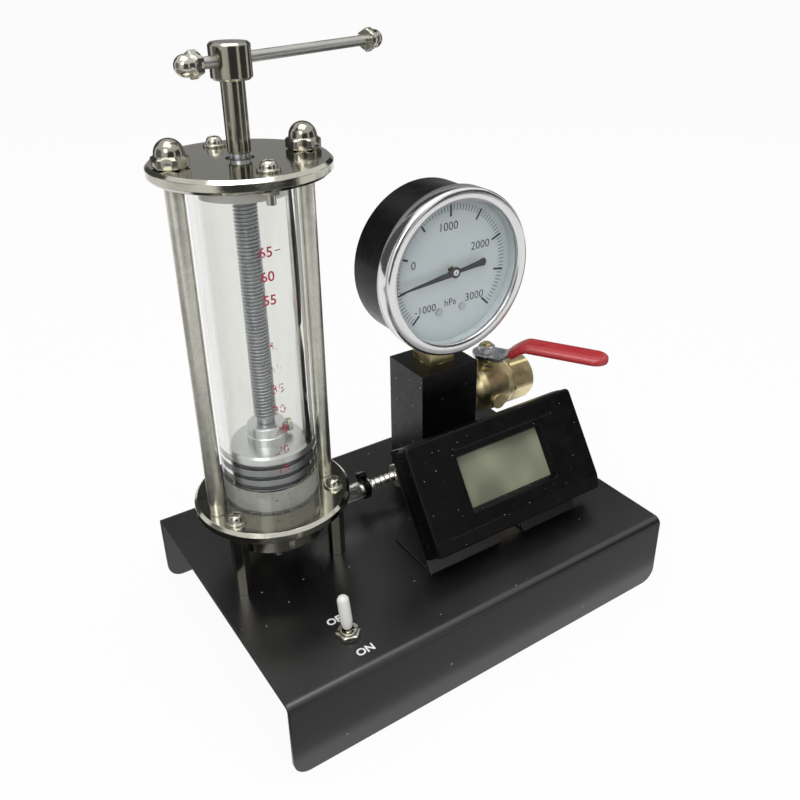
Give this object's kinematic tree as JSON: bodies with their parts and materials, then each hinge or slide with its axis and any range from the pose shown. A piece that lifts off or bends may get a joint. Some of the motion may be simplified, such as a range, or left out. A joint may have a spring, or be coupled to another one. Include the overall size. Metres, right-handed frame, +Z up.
{
  "type": "boyles law apparatus",
  "caption": "Classroom gas law apparatus: screw-driven piston in a clear graduated cylinder, with pressure gauge, ball valve, thermometer display and switch on a bent sheet base.",
  "frame": {"origin": "on the floor under the middle of the base's footprint", "axes": "+Z up, -Y the front with the switch and the thermometer's face, +X towards the ball valve's open end"},
  "size_m": [0.172, 0.12, 0.2212],
  "materials": {
    "black_powder_coat": "satin",
    "nickel": "polished",
    "satin_nickel": "satin",
    "zinc_steel": "satin",
    "grey_steel": "satin",
    "aluminium": "satin",
    "black_anodised": "satin",
    "brass": "satin",
    "clear_acrylic": "clear",
    "clear_hose": "clear",
    "gauge_glass": "clear",
    "white_plastic": "satin",
    "black_plastic": "satin",
    "blue_plastic": "satin",
    "green_board": "satin",
    "lcd_glass": "gloss",
    "red_vinyl": "gloss",
    "black_rubber": "matt",
    "black_case": "gloss",
    "chrome_bezel": "polished",
    "white_enamel": "satin",
    "pointer_black": "satin"
  },
  "bodies": {
    "frame": {"base_cover": "black_powder_coat", "base_screws": "zinc_steel", "switch_body": "blue_plastic", "switch_nut": "nickel", "standoffs": "satin_nickel", "plate_screws": "nickel", "bottom_plate": "nickel", "gas_boss": "nickel", "flush_screws": "zinc_steel", "plate_gaskets": "black_rubber", "boss_elbow": "nickel", "probe_gland": "nickel", "temperature_probe": "zinc_steel", "cylinder_tube": "clear_acrylic", "top_plate": "nickel", "thread_bush": "white_plastic", "plate_bolts": "nickel", "bolt_nuts": "nickel", "tie_rods": "satin_nickel", "acorn_nuts": "nickel", "hose": "clear_hose", "cable_ties": "black_plastic", "manifold_block": "black_anodised", "block_barb": "nickel", "valve_body": "brass", "valve_end": "brass", "valve_seats": "white_plastic", "gland_nut": "brass", "gauge_stem": "brass", "gauge_case": "black_case", "gauge_bezel": "chrome_bezel", "gauge_window": "gauge_glass", "gauge_dial": "white_enamel", "gauge_screws": "zinc_steel", "bourdon_tube": "brass", "gauge_movement": "brass", "thermo_front": "black_plastic", "thermo_back": "black_plastic", "lcd_panel": "lcd_glass", "circuit_board": "green_board", "button_cells": "zinc_steel", "thermo_stand": "black_powder_coat"},
    "piston": {"piston": "aluminium", "piston_rings": "black_rubber", "piston_hub": "aluminium", "hub_screw": "nickel"},
    "screw": {"spindle": "grey_steel", "spindle_head": "nickel"},
    "bar": {"tommy_bar": "satin_nickel", "bar_nuts": "nickel"},
    "valve_handle": {"valve_ball": "nickel", "valve_stem": "brass", "valve_lever": "zinc_steel", "lever_grip": "red_vinyl", "lever_nut": "zinc_steel"},
    "toggle": {"switch_lever": "nickel", "switch_cap": "white_plastic"},
    "needle": {"pinion_arbor": "zinc_steel", "gauge_pointer": "pointer_black"},
    "sector": {"sector_gear": "brass"}
  },
  "joints": [
    {"name": "piston_slide", "type": "slide", "parent": "frame", "child": "piston", "axis": [0, 0, 1], "range_m": [-0.005, 0.08125]},
    {"name": "screw_turn", "type": "hinge", "parent": "piston", "child": "screw", "pos_m": [-0.0549, 0.0099, 0.2], "axis": [0, 0, 1], "range_deg": [-1442, 23402]},
    {"name": "bar_slide", "type": "slide", "parent": "screw", "child": "bar", "axis": [0.9415, 0.3371, 0], "range_m": [-0.0568, 0.0061]},
    {"name": "valve_turn", "type": "hinge", "parent": "frame", "child": "valve_handle", "pos_m": [0.052, 0.0163, 0.072], "axis": [0, 0, 1], "range_deg": [-30.7, 59.3]},
    {"name": "switch_toggle", "type": "hinge", "parent": "frame", "child": "toggle", "pos_m": [-0.0542, -0.0428, 0.0327], "axis": [1, 0, 0], "range_deg": [0, 24]},
    {"name": "pointer_turn", "type": "hinge", "parent": "frame", "child": "needle", "pos_m": [0.02385, 0, 0.1348], "axis": [0, 1, 0], "range_deg": [-38, 232], "stiffness_Nm_per_rad": 0.0001},
    {"name": "sector_turn", "type": "hinge", "parent": "frame", "child": "sector", "pos_m": [0.01181, 0, 0.12142], "axis": [0, 1, 0], "range_deg": [-29.5, 5]}
  ],
  "couplings": [
    {"joint": "screw_turn", "follows": "piston_slide", "rad_per_m": 5026.5},
    {"joint": "sector_turn", "follows": "pointer_turn", "ratio": -0.125}
  ]
}
